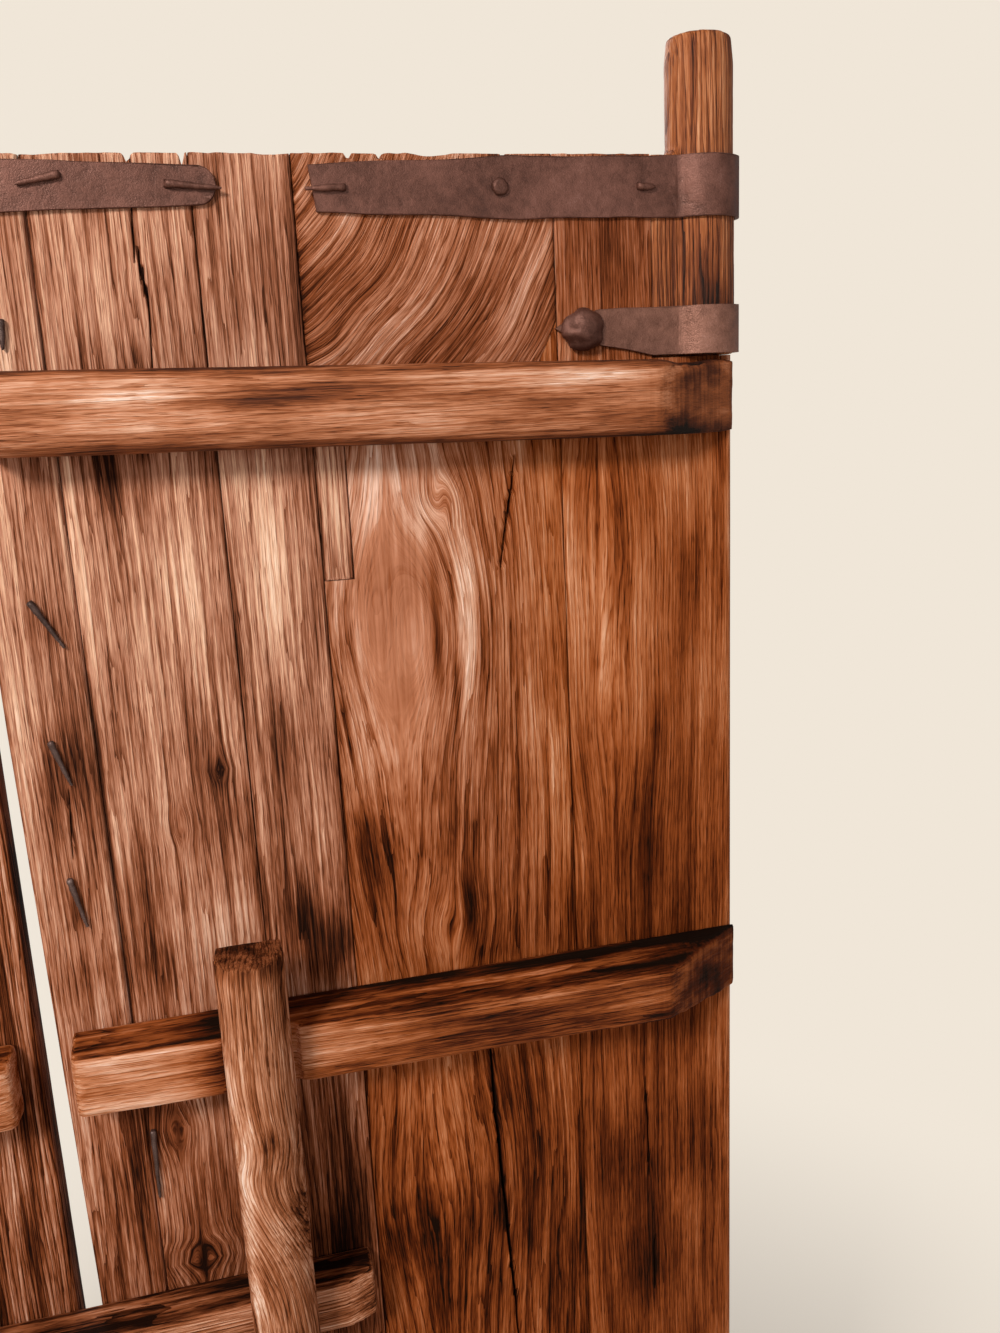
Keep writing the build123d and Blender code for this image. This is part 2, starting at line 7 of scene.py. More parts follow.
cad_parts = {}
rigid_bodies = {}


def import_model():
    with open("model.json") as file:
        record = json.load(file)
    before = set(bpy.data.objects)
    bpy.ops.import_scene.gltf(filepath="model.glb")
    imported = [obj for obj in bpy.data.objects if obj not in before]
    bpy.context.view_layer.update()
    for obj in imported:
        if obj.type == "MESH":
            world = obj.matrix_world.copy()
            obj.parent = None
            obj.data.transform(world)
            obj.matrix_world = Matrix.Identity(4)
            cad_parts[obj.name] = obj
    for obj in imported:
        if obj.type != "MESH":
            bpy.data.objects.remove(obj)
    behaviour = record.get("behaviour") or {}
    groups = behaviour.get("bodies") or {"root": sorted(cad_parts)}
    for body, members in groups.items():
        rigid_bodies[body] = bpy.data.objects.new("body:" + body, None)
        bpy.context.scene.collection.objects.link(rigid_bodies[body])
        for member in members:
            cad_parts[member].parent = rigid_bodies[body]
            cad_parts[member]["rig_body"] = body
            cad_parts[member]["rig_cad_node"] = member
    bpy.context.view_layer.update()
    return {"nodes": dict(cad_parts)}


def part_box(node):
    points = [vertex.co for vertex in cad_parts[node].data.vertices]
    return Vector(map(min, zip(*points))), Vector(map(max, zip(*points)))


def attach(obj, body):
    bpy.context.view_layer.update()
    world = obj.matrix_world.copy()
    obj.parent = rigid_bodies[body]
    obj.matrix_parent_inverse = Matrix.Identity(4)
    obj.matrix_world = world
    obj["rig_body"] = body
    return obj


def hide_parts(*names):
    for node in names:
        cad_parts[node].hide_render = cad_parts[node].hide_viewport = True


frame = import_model()
bpy.ops.object.select_all(action="DESELECT")
bpy.context.scene.view_settings.view_transform = "Standard"

# Boards of the two leaves
# Old planks, dowelled edge to edge, five to a leaf. Weather has raised the hard growth lines, opened the
# joints and cracks, and rounded what hands touch.

PIVOT_SPACING = 1.158  # between the pivot axes of the two leaves
LEAF_TOP = 1.860
FACE = 0.017  # from the middle of the boards to either face
HEAD_FROM = 1.60  # below this height a cut head leaves a board as it is
PATTERN_STEP = 0.37  # from one piece's place in the wood pattern to the next piece's
SHARP_EDGE = (0.0006, 0.0014, 0.0026)  # how far in from a square side the close rows of points lie
ROUND_EDGE = (0.0005, 0.0012, 0.0022, 0.0035, 0.0052, 0.0075)  # and from a rounded side
BOARD_END = (0.0008, 0.0025)  # and from an end


def tint(red, green, blue):
    """A colour as it reads on a paint card, 0 to 255, for a socket."""
    card = [c / 255 for c in (red, green, blue)]
    return [c / 12.92 if c <= 0.04045 else ((c + 0.055) / 1.055) ** 2.4 for c in card] + [1.0]


def ripple(places, patch, seed):
    """Smooth unevenness from -1 to 1 at each place, with a patch size along each axis in metres."""
    rng = np.random.default_rng(seed)
    table = rng.random((48, 24, 48)) * 2 - 1
    p = places / np.array(patch) + rng.random(3) * 20
    cell = np.floor(p).astype(int)
    f = p - cell
    f = f * f * (3 - 2 * f)
    total = np.zeros(places.shape[:-1])
    for corner in np.ndindex(2, 2, 2):
        weight = np.ones(places.shape[:-1])
        for axis in range(3):
            weight = weight * (f[..., axis] if corner[axis] else 1 - f[..., axis])
        at = [(cell[..., a] + corner[a]) % table.shape[a] for a in range(3)]
        total += weight * table[at[0], at[1], at[2]]
    return total


def blot(s, z, spots):
    """Sum of soft spots, each at a place on the leaf with a half width, a half height and a strength."""
    total = np.zeros(s.shape)
    for at_s, at_z, wide, tall, strength in spots:
        total += strength * np.exp(-((s - at_s) / wide) ** 2 - ((z - at_z) / tall) ** 2)
    return total


def growth_line(s, z, eyes, seed):
    """Which growth line of a board runs through each point, as a distance across it; eyes part the lines."""
    flat = np.stack([s, np.zeros(s.shape), z], axis=-1)
    line = s + 0.0050 * ripple(flat, (0.10, 1, 0.75), seed)
    line += 0.0007 * ripple(flat, (0.03, 1, 0.14), seed + 1)
    for at_s, at_z, push, wide, tall in eyes:
        away = (s - at_s) / wide
        line = line - push * np.tanh(away) * np.exp(-(away / 4) ** 2 - ((z - at_z) / tall) ** 2)
    return line


def from_pivot(side, x):
    """How far an X is from the leaf's own pivot axis, or the X of a place that far from it."""
    return PIVOT_SPACING - x if side == "right" else x


def points(piece, kind="co"):
    """The places of a piece's points, or the ways they face where kind is normal."""
    values = np.zeros(len(piece.data.vertices) * 3)
    piece.data.vertices.foreach_get(kind, values)
    return values.reshape(-1, 3)


def store(piece, name, values, kind="FLOAT"):
    """Keeps a value for each point of a piece, for its material to read."""
    field = "vector" if kind == "FLOAT_VECTOR" else "value"
    attribute = piece.data.attributes.new(name, kind, "POINT")
    attribute.data.foreach_set(field, np.asarray(values, np.float32).ravel())


def spaced(low, high, step, fine):
    """Places from low to high about a step apart, with closer ones at the fine distances from both ends."""
    inner = [low + f for f in fine] + [high - f for f in reversed(fine)]
    start, end = low + fine[-1], high - fine[-1]
    count = max(2, int(round((end - start) / step)))
    places = sorted(set([low, high] + inner + list(np.linspace(start, end, count + 1))))
    return np.array([p for k, p in enumerate(places) if k == 0 or p - places[k - 1] > 1e-5])


def board_grid(low, high, step, pitch, edge_round, holes):
    """The points of a plank's face in the box of its CAD solid, and which cells between them holes take."""
    across = spaced(low.x, high.x, step, ROUND_EDGE if edge_round else SHARP_EDGE)
    up = spaced(low.z, high.z, pitch, BOARD_END)
    for x0, z0, x1, z1 in holes:
        across = np.array(sorted(set(across) | {x0, x1}))
        up = np.array(sorted(set(up) | {z0, z1}))
    across = across[(across >= low.x) & (across <= high.x)]
    up = up[(up >= low.z) & (up <= high.z)]
    x, z = np.meshgrid(across, up)
    mid_x, mid_z = (x[1:, 1:] + x[:-1, :-1]) / 2, (z[1:, 1:] + z[:-1, :-1]) / 2
    gone = np.zeros(mid_x.shape, bool)
    for x0, z0, x1, z1 in holes:
        gone |= (mid_x > x0) & (mid_x < x1) & (mid_z > z0) & (mid_z < z1)
    return x, z, gone


def ridges(coarse, fine):
    """How far the hard growth lines stand up, 0 to 1, from a coarse and a fine unevenness."""
    return np.clip(0.5 + 0.75 * (0.62 * coarse + 0.38 * fine), 0, 1)


def weathered_face(side, flat, pivot_gap, far_gap, edge_round, line, relief, seed, grain=None,
                   eyes=(), calm=(), stains_and_shadows=(), pales_and_shadows=()):
    """How a plank's face has aged at each point: growth line, ridge, depth gone, wear and painted light,
    dirt and painted shadow, and calm.

    The gaps are the distances from its side towards the pivot, which edge_round rounds, and from the other.
    """
    s, z = from_pivot(side, flat[..., 0]), flat[..., 2]
    edge = np.minimum(pivot_gap, far_gap)
    end = np.minimum(z - z.min(), z.max() - z)
    across = grain(s, z, seed) if grain else growth_line(s, z, eyes, seed)
    flow = np.stack([across, np.zeros(s.shape), z], axis=-1)
    ridge = ridges(ripple(flow, (line * 0.5, 1, 0.35), seed + 2),
                   ripple(flow, (line * 0.28, 1, 0.12), seed + 3))
    hollows = 0.0006 * (1 + ripple(flat, (0.05, 1, 0.18), seed + 4)) / 2
    inset = relief * (1 - ridge) + hollows
    ragged = 1 + 0.6 * ripple(flat, (0.02, 1, 0.03), seed + 5)
    rubbed_and_lit = 0
    if edge_round:
        d = np.clip(edge, 0, edge_round)
        curve = edge_round - np.sqrt(np.maximum(edge_round ** 2 - (edge_round - d) ** 2, 0))
        inset = inset + np.where(pivot_gap < edge_round, curve, 0.0012 * ragged * np.exp(-edge / 0.0008))
        # Pale along a rounded side: rubbed by hands, and a painted highlight where the rounding meets the
        # light.
        rubbed_and_lit = 0.9 * np.where(edge < edge_round, np.exp(-edge / 0.0045), 0)
    else:
        inset = inset + 0.0012 * ragged * np.exp(-edge / 0.0009)
    inset = inset + 0.0010 * ragged * np.exp(-end / 0.002)
    wear_light_and_shade = (0.5 * ripple(flow, (0.03, 1, 0.08), seed + 6)
            + 0.4 * ripple(flow, (0.005, 1, 0.06), seed + 7))
    wear_light_and_shade = wear_light_and_shade + rubbed_and_lit + blot(s, z, pales_and_shadows)
    joint = far_gap if edge_round else edge
    dirt_and_shade = 0.6 * np.clip(ripple(flow, (0.03, 1, 0.13), seed + 8) - 0.15, 0, 1)
    dirt_and_shade = dirt_and_shade + 0.5 * np.exp(-joint / 0.0018) * np.clip(ragged, 0, 1)
    dirt_and_shade = dirt_and_shade + blot(s, z, stains_and_shadows) * (1 + 0.5 * ripple(flow, (0.008, 1, 0.05), seed + 9))
    still = np.clip(2.5 * blot(s, z, calm), 0, 1)
    inset = inset - relief * (1 - ridge) * still * 0.8
    return {"line": across, "ridge": ridge, "inset": inset, "wear_light_and_shade": wear_light_and_shade, "dirt_and_shade": dirt_and_shade, "calm": still}


def open_cracks(side, x, up, cracks, face, seed):
    """Draws three columns of points to each crack, for its floor and its two lips, and lowers the floor."""
    for path, width, depth in cracks:
        path = sorted(path, key=lambda point: point[1])
        centre = from_pivot(side, np.interp(up, [p[1] for p in path], [p[0] for p in path]))
        row_points = np.stack([np.full(len(up), seed * 0.1), np.zeros(len(up)), up], axis=-1)
        centre = centre + 0.0009 * ripple(row_points, (1, 1, 0.025), seed + 11)
        inside = [k for k, height in enumerate(up) if path[0][1] <= height <= path[-1][1]]
        for order, k in enumerate(inside):
            share = math.sin(math.pi * min(1, (order + 0.6) / len(inside))) ** 0.5
            half = width * (0.35 + 0.65 * share)
            column = int(np.argmin(abs(x[k] - centre[k])))
            if 1 < column < x.shape[1] - 2:
                x[k, column - 1:column + 2] = [centre[k] - half, centre[k], centre[k] + half]
                face["inset"][k, column] += depth * share
                face["dirt_and_shade"][k, column] += 2.5 * share
                face["dirt_and_shade"][k, column - 1:column + 2] += 0.35


def lay_board(name, x, z, front, back, gone, swell):
    """A closed board: a grid, cut where cells are gone, extruded twice, and each point set to its place.

    Halfway through the thickness the sides swell, so that a joint is dark and not seen through.
    """
    rows, columns = x.shape
    bpy.ops.mesh.primitive_grid_add(x_subdivisions=columns - 1, y_subdivisions=rows - 1, size=2,
                                    rotation=(math.pi / 2, 0, 0))
    board = bpy.context.object
    board.name = name
    board.data.name = name
    bpy.ops.object.transform_apply(location=False, rotation=True, scale=False)
    bpy.ops.object.mode_set(mode="EDIT")
    bpy.ops.mesh.select_mode(type="FACE")
    bpy.ops.mesh.select_all(action="DESELECT")
    bpy.ops.object.mode_set(mode="OBJECT")
    for polygon in board.data.polygons:
        i = int((polygon.center.x + 1) / 2 * (columns - 1))
        j = int((polygon.center.z + 1) / 2 * (rows - 1))
        polygon.select = bool(gone[j, i])
    bpy.ops.object.mode_set(mode="EDIT")
    if gone.any():
        bpy.ops.mesh.delete(type="FACE")
    bpy.ops.mesh.select_all(action="SELECT")
    bpy.ops.mesh.extrude_region_move(TRANSFORM_OT_translate={"value": (0, 0.5, 0)})
    bpy.ops.mesh.extrude_region_move(TRANSFORM_OT_translate={"value": (0, 0.5, 0)})
    bpy.ops.mesh.select_all(action="SELECT")
    bpy.ops.mesh.normals_make_consistent(inside=False)
    bpy.ops.object.mode_set(mode="OBJECT")
    co = points(board)
    i = np.rint((co[:, 0] + 1) / 2 * (columns - 1)).astype(int)
    j = np.rint((co[:, 2] + 1) / 2 * (rows - 1)).astype(int)
    behind, core = co[:, 1] > 0.75, abs(co[:, 1] - 0.5) < 0.25
    y = np.where(core, 0, np.where(behind, FACE - back[j, i], front[j, i] - FACE))
    bulge = np.where(i == 0, -swell, np.where(i == columns - 1, swell, 0))
    placed = np.stack([x[j, i] + np.where(core, bulge, 0), y, z[j, i]], axis=-1)
    board.data.vertices.foreach_set("co", placed.ravel())
    board.data.update()
    return board, i, j, behind


def weathered_board(node, side, wood, step, pitch, line, relief, seed, edge_round=0.0, holes=(), cracks=(),
                    notches=(), head=None, foot=None, turned=None, grain=None, along=(0, 1), **marks):
    """One plank, its points laid out across (step) and up (pitch), with growth lines of a width and relief.

    Head and foot give the heights at which its ends are cut, and turned the X of a worn meeting edge. Grain
    gives growth lines that slant, and along their way in X and Z. Marks are the inner face's eyes, calm,
    stains and pales, with painted shadow among the stains and among the darker pales.
    """
    low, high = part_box(node)
    x, z, gone = board_grid(low, high, step, pitch, edge_round, holes)
    up = z[:, 0].copy()
    if head:
        lowered = HEAD_FROM + (z - HEAD_FROM) * (head(x) - HEAD_FROM) / (high.z - HEAD_FROM)
        z = np.where(z > HEAD_FROM, lowered, z)
    if foot:
        z = high.z - (high.z - z) * (high.z - foot(x)) / (high.z - low.z)
    pivot_gap, far_gap = (x - low.x, high.x - x) if side == "left" else (high.x - x, x - low.x)
    if turned:
        reach = turned(z)
        x = high.x - (high.x - x) * (high.x - reach) / (high.x - low.x)
        far_gap = x - reach
    flat = np.stack([x, np.zeros(x.shape), z], axis=-1)
    shape = (side, flat, pivot_gap, far_gap, edge_round, line, relief)
    front = weathered_face(*shape, seed, grain, **marks)
    back = weathered_face(*shape, seed + 50, grain)
    open_cracks(side, x, up, cracks, front, seed)
    wander = 0.00012 * (1 + ripple(flat, (1, 1, 0.05), seed + 12))
    x[:, 0] += wander[:, 0]
    x[:, -1] -= wander[:, -1]
    for at, width, depth in notches:
        for row in (-1, -2, -3):
            z[row] -= depth * np.exp(-((x[row] - from_pivot(side, at)) / width) ** 2)
    z[-1] -= 0.0006 * (1 + ripple(flat[-1], (0.006, 1, 1), seed + 13))
    swell = 0.0 if edge_round else wander.max() + 0.00029
    board, i, j, behind = lay_board("aged_" + node, x, z, front["inset"], back["inset"], gone, swell)
    aged = {key: np.where(behind, back[key][j, i], front[key][j, i]) for key in front}
    co = points(board)
    run = along[0] * co[:, 0] + along[1] * co[:, 2]
    flow = np.stack([aged["line"] + seed * PATTERN_STEP, co[:, 1], run], axis=-1)
    store(board, "grain", flow, "FLOAT_VECTOR")
    for key in ("ridge", "wear_light_and_shade", "dirt_and_shade", "calm"):
        store(board, key, aged[key])
    bpy.ops.object.shade_smooth_by_angle(angle=math.radians(50))
    board.data.materials.append(wood)
    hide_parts(node)
    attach(board, side + "_leaf")


def add(tree, kind, sockets=None, **settings):
    """A new shader node of a kind, its sockets set to values or joined to other nodes' sockets."""
    made = tree.nodes.new("ShaderNode" + kind)
    for key, value in settings.items():
        setattr(made, key, value)
    for key, value in (sockets or {}).items():
        if isinstance(value, bpy.types.NodeSocket):
            tree.links.new(value, made.inputs[key])
        else:
            made.inputs[key].default_value = value
    return made


def sums(tree, operation, *values, clamp=False):
    """The output of a new maths node for an operation on the values."""
    made = add(tree, "Math", dict(enumerate(values)), operation=operation, use_clamp=clamp)
    return made.outputs[0]


def noise(tree, vector, stretch, detail=3.0, roughness=0.55, low=0.34, high=0.66):
    """Noise from 0 to 1, stretched along the grain; stretch counts the patches to a metre on each axis."""
    moved = add(tree, "Mapping", {"Vector": vector, "Scale": stretch})
    grainy = {"Vector": moved.outputs[0], "Scale": 1.0, "Detail": detail, "Roughness": roughness}
    found = add(tree, "TexNoise", grainy).outputs["Fac"]
    return add(tree, "MapRange", {"Value": found, "From Min": low, "From Max": high}).outputs[0]


def ring_lines(tree, grain, rings):
    """Growth rings: each darkens slowly across its width and ends sharply; rings counts them to a metre."""
    across = add(tree, "SeparateXYZ", {"Vector": grain}).outputs[0]
    drift = noise(tree, grain, (24, 24, 2.2), 3, 0.6, low=0.2, high=0.8)
    fine = noise(tree, grain, (400, 300, 18), 2, 0.5, low=0.2, high=0.8)
    phase = sums(tree, "MULTIPLY_ADD", across, rings, sums(tree, "MULTIPLY", drift, 5.0))
    phase = sums(tree, "MULTIPLY_ADD", fine, 0.35, phase)
    return sums(tree, "POWER", sums(tree, "FRACT", phase), 3.6)


def shade(tree, tone, shades):
    """The colour of a tone from 0 to 1, by the places and paint cards of its shades."""
    ramp = add(tree, "ValToRGB", {"Fac": tone})
    stops = ramp.color_ramp.elements
    stops[0].position, stops[0].color = shades[0][0], tint(*shades[0][1])
    stops[1].position, stops[1].color = shades[-1][0], tint(*shades[-1][1])
    for place, card in shades[1:-1]:
        stops.new(place).color = tint(*card)
    return ramp.outputs["Color"]


def aged_wood(name, shades, base, rings, ridge, line, fibre=0.22, wear_light_and_shade=0.24, gloss=0.5, shine=0.05,
              lower=None, levels=(1.50, 1.18), beside=(2.0, 3.0)):
    """Waxed old wood, base its usual tone. Shades run from the dirt in the cracks, and painted shade, to the
    palest worn line, which is in part a painted sheen.

    They can pass into the lower shades between two levels, or sideways between two places across the pair,
    which lie beyond the pair where nothing else is said.
    """
    material = bpy.data.materials.new(name)
    material.use_nodes = True
    tree = material.node_tree
    shader = tree.nodes["Principled BSDF"]
    grain = add(tree, "Attribute", attribute_name="grain").outputs["Vector"]
    high = add(tree, "Attribute", attribute_name="ridge").outputs["Fac"]
    wear_light_and_shade_value = add(tree, "Attribute", attribute_name="wear_light_and_shade").outputs["Fac"]
    dirt_and_shade_value = add(tree, "Attribute", attribute_name="dirt_and_shade").outputs["Fac"]
    lines = noise(tree, grain, (420, 300, 5), 4, 0.6)
    fibres = noise(tree, grain, (1500, 900, 40), 2, 0.6)
    streaks = noise(tree, grain, (60, 50, 1.6), 4, 0.6)
    mottle = noise(tree, grain, (14, 14, 8), 5, 0.6)
    pores = noise(tree, grain, (1300, 900, 60), 1, 0.5, low=0.58, high=0.70)
    darker = ring_lines(tree, grain, rings)
    # Raised growth lines are paler: weathered wood, and in part a painted sheen of the wax on them.
    tone = sums(tree, "MULTIPLY_ADD", high, ridge, -ridge / 2)
    for part, share in ((lines, line), (fibres, fibre), (streaks, 0.12), (mottle, 0.16)):
        tone = sums(tree, "MULTIPLY_ADD", part, share, sums(tree, "ADD", tone, -share / 2))
    tone = sums(tree, "MULTIPLY_ADD", darker, -line * 1.15, sums(tree, "ADD", tone, line * 0.25))
    tone = sums(tree, "MULTIPLY_ADD", pores, -0.16, tone)
    still = add(tree, "Attribute", attribute_name="calm").outputs["Fac"]
    tone = sums(tree, "MULTIPLY_ADD", tone, sums(tree, "MULTIPLY_ADD", still, -0.86, 1), base)
    place = add(tree, "TexCoord").outputs["Object"]
    upright = noise(tree, place, (260, 200, 12), 4, 0.6, low=0.2, high=0.8)
    faint = sums(tree, "MULTIPLY_ADD", upright, 0.30, -0.17)
    tone = sums(tree, "MULTIPLY_ADD", faint, still, tone)
    # The wear value also carries painted highlights along rounded edges and painted shade on bevelled ends
    # and undersides.
    tone = sums(tree, "MULTIPLY_ADD", wear_light_and_shade_value, wear_light_and_shade, tone)
    grooves = sums(tree, "MULTIPLY_ADD", high, -0.6, 1.1)
    # The dirt value also carries painted shadow beside the keeper and painted shade on upper faces and rail
    # undersides.
    tone = sums(tree, "MULTIPLY_ADD", sums(tree, "MULTIPLY", dirt_and_shade_value, grooves), -0.5, tone, clamp=True)
    colour = shade(tree, tone, shades)
    if lower:
        level = add(tree, "SeparateXYZ", {"Vector": grain}).outputs[2]
        falling = {"Value": level, "From Min": levels[0], "From Max": levels[1], "To Max": 0.85}
        share = add(tree, "MapRange", falling).outputs[0]
        sideways = add(tree, "SeparateXYZ", {"Vector": place}).outputs[0]
        nearing = {"Value": sideways, "From Min": beside[0], "From Max": beside[1], "To Max": 0.90}
        share = sums(tree, "MAXIMUM", share, add(tree, "MapRange", nearing).outputs[0])
        blend = add(tree, "Mix", {0: share, 6: colour, 7: shade(tree, tone, lower)}, data_type="RGBA")
        colour = blend.outputs[2]
    tree.links.new(colour, shader.inputs["Base Color"])
    rough = add(tree, "MapRange", {"Value": tone, "To Min": gloss + 0.35, "To Max": gloss + 0.03}).outputs[0]
    tree.links.new(rough, shader.inputs["Roughness"])
    height = sums(tree, "MULTIPLY_ADD", fibres, 0.35, lines)
    height = sums(tree, "MULTIPLY_ADD", darker, -0.6, height)
    height = sums(tree, "MULTIPLY_ADD", pores, -0.4, height)
    bump = add(tree, "Bump", {"Height": height, "Distance": 0.0009, "Strength": 0.8})
    tree.links.new(bump.outputs["Normal"], shader.inputs["Normal"])
    shader.inputs["Specular IOR Level"].default_value = shine
    return material


grey_shades = [(0.0, (34, 16, 9)), (0.20, (84, 44, 26)), (0.40, (138, 82, 56)), (0.60, (186, 130, 104)),
               (0.80, (222, 174, 144)), (1.0, (242, 206, 180))]
plank_shades = [(0.0, (28, 11, 4)), (0.20, (76, 33, 12)), (0.40, (132, 70, 38)), (0.60, (180, 118, 88)),
                (0.80, (218, 170, 146)), (1.0, (244, 214, 198))]
stile_shades = [(0.0, (22, 7, 1)), (0.22, (86, 33, 5)), (0.45, (146, 72, 27)), (0.65, (180, 107, 62)),
                (0.85, (214, 154, 116)), (1.0, (236, 192, 160))]
plank_wood = aged_wood("plank_wood", grey_shades, base=0.56, rings=190, ridge=0.23, line=0.23, wear_light_and_shade=0.20,
                       lower=plank_shades)
figured_wood = aged_wood("figured_wood", plank_shades, base=0.56, rings=140, ridge=0.24, line=0.23,
                         lower=stile_shades, beside=(0.90, 1.02))
stile_wood = aged_wood("stile_wood", plank_shades, base=0.53, rings=300, ridge=0.16, line=0.18, fibre=0.16,
                       gloss=0.42, lower=stile_shades, levels=(1.80, 1.62))
panel_wood = aged_wood("panel_wood", plank_shades, base=0.50, rings=230, ridge=0.18, line=0.17, gloss=0.42)
brown_wood = aged_wood("brown_wood", plank_shades, base=0.42, rings=300, ridge=0.4, line=0.34)

# Boards of the right leaf
# The wide board has the eye of a branch and, at its head, a repair panel with slanting grain and an
# inlaid strip. A mark is a place on the leaf, s from the pivot axis and a height, then its half width,
# its half height and its strength; an eye has its push on the growth lines before its sizes.


def worn_edge(z):
    """The right leaf's meeting edge, worn back by hands: the edge's X at each height."""
    edge, worn_back = 0.585, 0.007
    wear_from, wear_run = LEAF_TOP - 0.410, 0.5
    return edge + worn_back * np.clip((wear_from - z) / wear_run, 0, 1)


def panel_line(s, z, seed):
    """Growth lines of the repair panel: uneven rings round a heart beyond its upper left corner."""
    heart_s, heart_z, uneven = 0.450, 1.927, 0.004
    flat = np.stack([s, np.zeros(s.shape), z], axis=-1)
    return np.hypot(s - heart_s, z - heart_z) + uneven * ripple(flat, (0.05, 1, 0.05), seed)


def panel_foot(x):
    """The panel's lower edge, cut off slanting at its corner by the stile."""
    edge, corner_s, cut_wide, cut_tall = 1.680, 0.158, 0.030, 0.059
    past = corner_s - from_pivot("right", x)
    return np.where(past > 0, edge + past / cut_wide * cut_tall, edge)


def under_panel(x):
    """The head of the wide board, a hair below the panel's lower edge."""
    joint = 0.0006
    return panel_foot(x) - joint


# Four of these stains are painted shadow of the keeper on the boards beside it: those at 0.365 and 0.345 by
# its head, and those at 0.352 and 0.386 below the batten.
right_stains_and_shadows = [(0.512, 1.455, 0.022, 0.055, 0.42), (0.515, 1.615, 0.022, 0.050, 0.22),
                (0.520, 1.330, 0.012, 0.100, 0.35), (0.405, 1.500, 0.020, 0.090, 0.30),
                (0.317, 1.460, 0.009, 0.085, 0.60), (0.365, 1.262, 0.012, 0.035, 1.00),
                (0.345, 1.235, 0.022, 0.030, 0.80), (0.222, 1.255, 0.007, 0.050, 0.70),
                (0.235, 1.320, 0.030, 0.050, 0.30), (0.455, 1.360, 0.008, 0.014, 0.70),
                (0.420, 1.400, 0.007, 0.016, 0.70), (0.345, 1.420, 0.020, 0.050, 0.30),
                (0.520, 1.245, 0.060, 0.020, 0.40), (0.500, 1.100, 0.030, 0.060, 0.50),
                (0.486, 1.090, 0.005, 0.017, 1.00), (0.212, 0.980, 0.010, 0.160, 0.60),
                (0.352, 1.000, 0.020, 0.130, 0.55), (0.386, 1.020, 0.022, 0.120, 0.45),
                (0.470, 0.950, 0.060, 0.060, 0.40), (0.478, 0.963, 0.0085, 0.008, 0.90),
                (0.335, 1.700, 0.010, 0.150, 0.30), (0.100, 1.665, 0.080, 0.012, 0.40),
                (0.400, 1.660, 0.200, 0.010, 0.40), (0.300, 1.165, 0.300, 0.012, 0.40),
                (0.455, 1.620, 0.030, 0.030, 0.35), (0.390, 1.300, 0.020, 0.050, 0.35),
                (0.534, 1.530, 0.012, 0.024, 0.60), (0.537, 1.420, 0.012, 0.024, 0.50),
                (0.538, 1.305, 0.012, 0.024, 0.55), (0.480, 1.640, 0.012, 0.030, 0.45),
                (0.2385, 1.505, 0.0035, 0.065, 0.80), (0.2255, 1.480, 0.003, 0.080, 0.55)]
# The entry at 0.375 and 1.020, with a strength below nought, darkens the boards beside the keeper below the
# batten: painted shadow.
right_pales_and_shadows = [(0.500, 1.580, 0.022, 0.070, 0.60), (0.430, 1.570, 0.015, 0.050, 0.70),
               (0.560, 1.460, 0.020, 0.050, 0.50), (0.430, 1.270, 0.030, 0.030, 0.50),
               (0.213, 1.500, 0.008, 0.080, 1.00), (0.500, 1.780, 0.030, 0.080, 0.30),
               (0.390, 1.800, 0.030, 0.050, 0.20), (0.360, 1.560, 0.020, 0.080, 0.80),
               (0.170, 1.560, 0.020, 0.060, 0.60), (0.470, 1.420, 0.020, 0.080, 0.80),
               (0.314, 1.600, 0.010, 0.040, 0.80), (0.450, 1.550, 0.120, 0.120, 0.10),
               (0.275, 0.990, 0.035, 0.100, 0.75), (0.375, 1.500, 0.030, 0.140, 0.35),
               (0.370, 1.790, 0.040, 0.090, -0.70), (0.470, 1.420, 0.080, 0.120, -0.20),
               (0.245, 1.590, 0.014, 0.020, 0.90), (0.200, 1.300, 0.150, 0.120, -0.50),
               (0.050, 1.220, 0.100, 0.140, -0.90), (0.272, 1.515, 0.034, 0.085, -0.10),
               (0.050, 1.420, 0.060, 0.080, 0.30), (0.150, 0.850, 0.250, 0.300, -1.00),
               (0.100, 1.790, 0.040, 0.080, -0.55), (0.375, 1.020, 0.045, 0.120, -0.60),
               (0.050, 1.500, 0.060, 0.200, -0.30), (0.500, 0.900, 0.150, 0.250, -0.50),
               (0.285, 1.645, 0.045, 0.050, 0.45)]
big_eyes = [(0.272, 1.515, 0.0330, 0.0290, 0.105), (0.275, 1.340, 0.0160, 0.0300, 0.120),
            (0.229, 1.604, 0.0080, 0.0060, 0.020), (0.190, 1.500, -0.0100, 0.0200, 0.100),
            (0.240, 1.240, 0.0080, 0.0100, 0.030), (0.270, 0.980, 0.0200, 0.0300, 0.120)]
broad_eyes = [(0.455, 1.360, 0.0040, 0.0035, 0.012), (0.420, 1.404, 0.0040, 0.0030, 0.010),
              (0.478, 0.963, 0.0160, 0.0090, 0.016), (0.486, 1.090, 0.0080, 0.0050, 0.020)]
stile_eyes = [(0.095, 1.56, 0.012, 0.02, 0.10), (0.09, 1.40, 0.010, 0.016, 0.08)]
branch_core = [(0.271, 1.512, 0.028, 0.078, 1.0)]
head_notches = [(0.439, 0.0020, 0.0070), (0.402, 0.0014, 0.0090), (0.284, 0.0018, 0.0050),
                (0.261, 0.0015, 0.0040), (0.222, 0.0120, 0.0022), (0.167, 0.0012, 0.0040),
                (0.500, 0.0200, 0.0015), (0.340, 0.0100, 0.0012)]
stile_cracks = [([(0.066, 1.045), (0.064, 1.0), (0.063, 0.95)], 0.0009, 0.004),
                ([(0.0595, 0.868), (0.0597, 0.83)], 0.0010, 0.004)]
